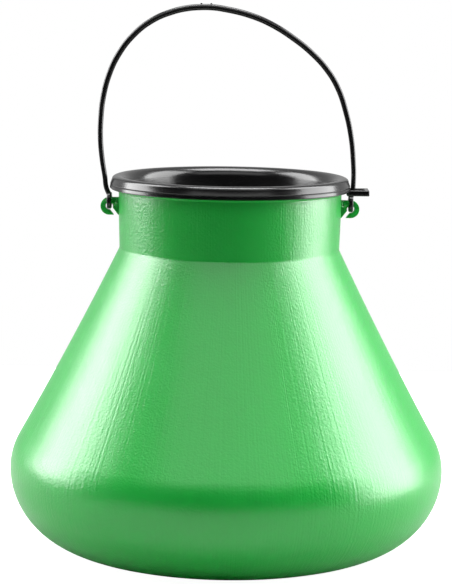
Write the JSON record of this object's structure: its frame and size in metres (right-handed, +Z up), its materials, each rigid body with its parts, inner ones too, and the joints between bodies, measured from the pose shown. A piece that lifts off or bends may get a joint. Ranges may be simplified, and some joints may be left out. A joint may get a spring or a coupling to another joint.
{
  "type": "pheromone insect trap",
  "caption": "Hanging funnel trap for insects: flask-shaped plastic body with a push-in funnel lid, strap bail on side hooks and a lure basket in the funnel.",
  "frame": {"origin": "centre of the foot ring's underside, on the flask's axis", "axes": "+Z up along the flask's axis, -Y the front, +X towards the lid's loop; the bail stands in the XZ plane"},
  "size_m": [0.17, 0.17, 0.213],
  "materials": {
    "green_polyethylene": "semi-gloss blow-moulded",
    "black_polypropylene": "gloss injection-moulded",
    "natural_polypropylene": "satin injection-moulded",
    "rubber": "matt"
  },
  "bodies": {
    "flask": {"trap_flask": "green_polyethylene"},
    "lid": {"funnel_lid": "black_polypropylene"},
    "bail": {"bail_handle": "black_polypropylene"},
    "basket": {"lure_basket": "natural_polypropylene", "lure_septum": "rubber"},
    "cap": {"lure_cap": "natural_polypropylene"}
  },
  "joints": [
    {"name": "bail_swing", "type": "hinge", "parent": "flask", "child": "bail", "pos_m": [0, 0, 0.13648], "axis": [1, 0, 0], "range_deg": [-6, 6]},
    {"name": "lid_lift", "type": "slide", "parent": "flask", "child": "lid", "axis": [0, 0, 1], "range_m": [0, 0.012]},
    {"name": "basket_lift", "type": "slide", "parent": "lid", "child": "basket", "axis": [0, 0, 1], "range_m": [0, 0.045]},
    {"name": "cap_lift", "type": "slide", "parent": "basket", "child": "cap", "axis": [0, 0, 1], "range_m": [0, 0.008]}
  ]
}
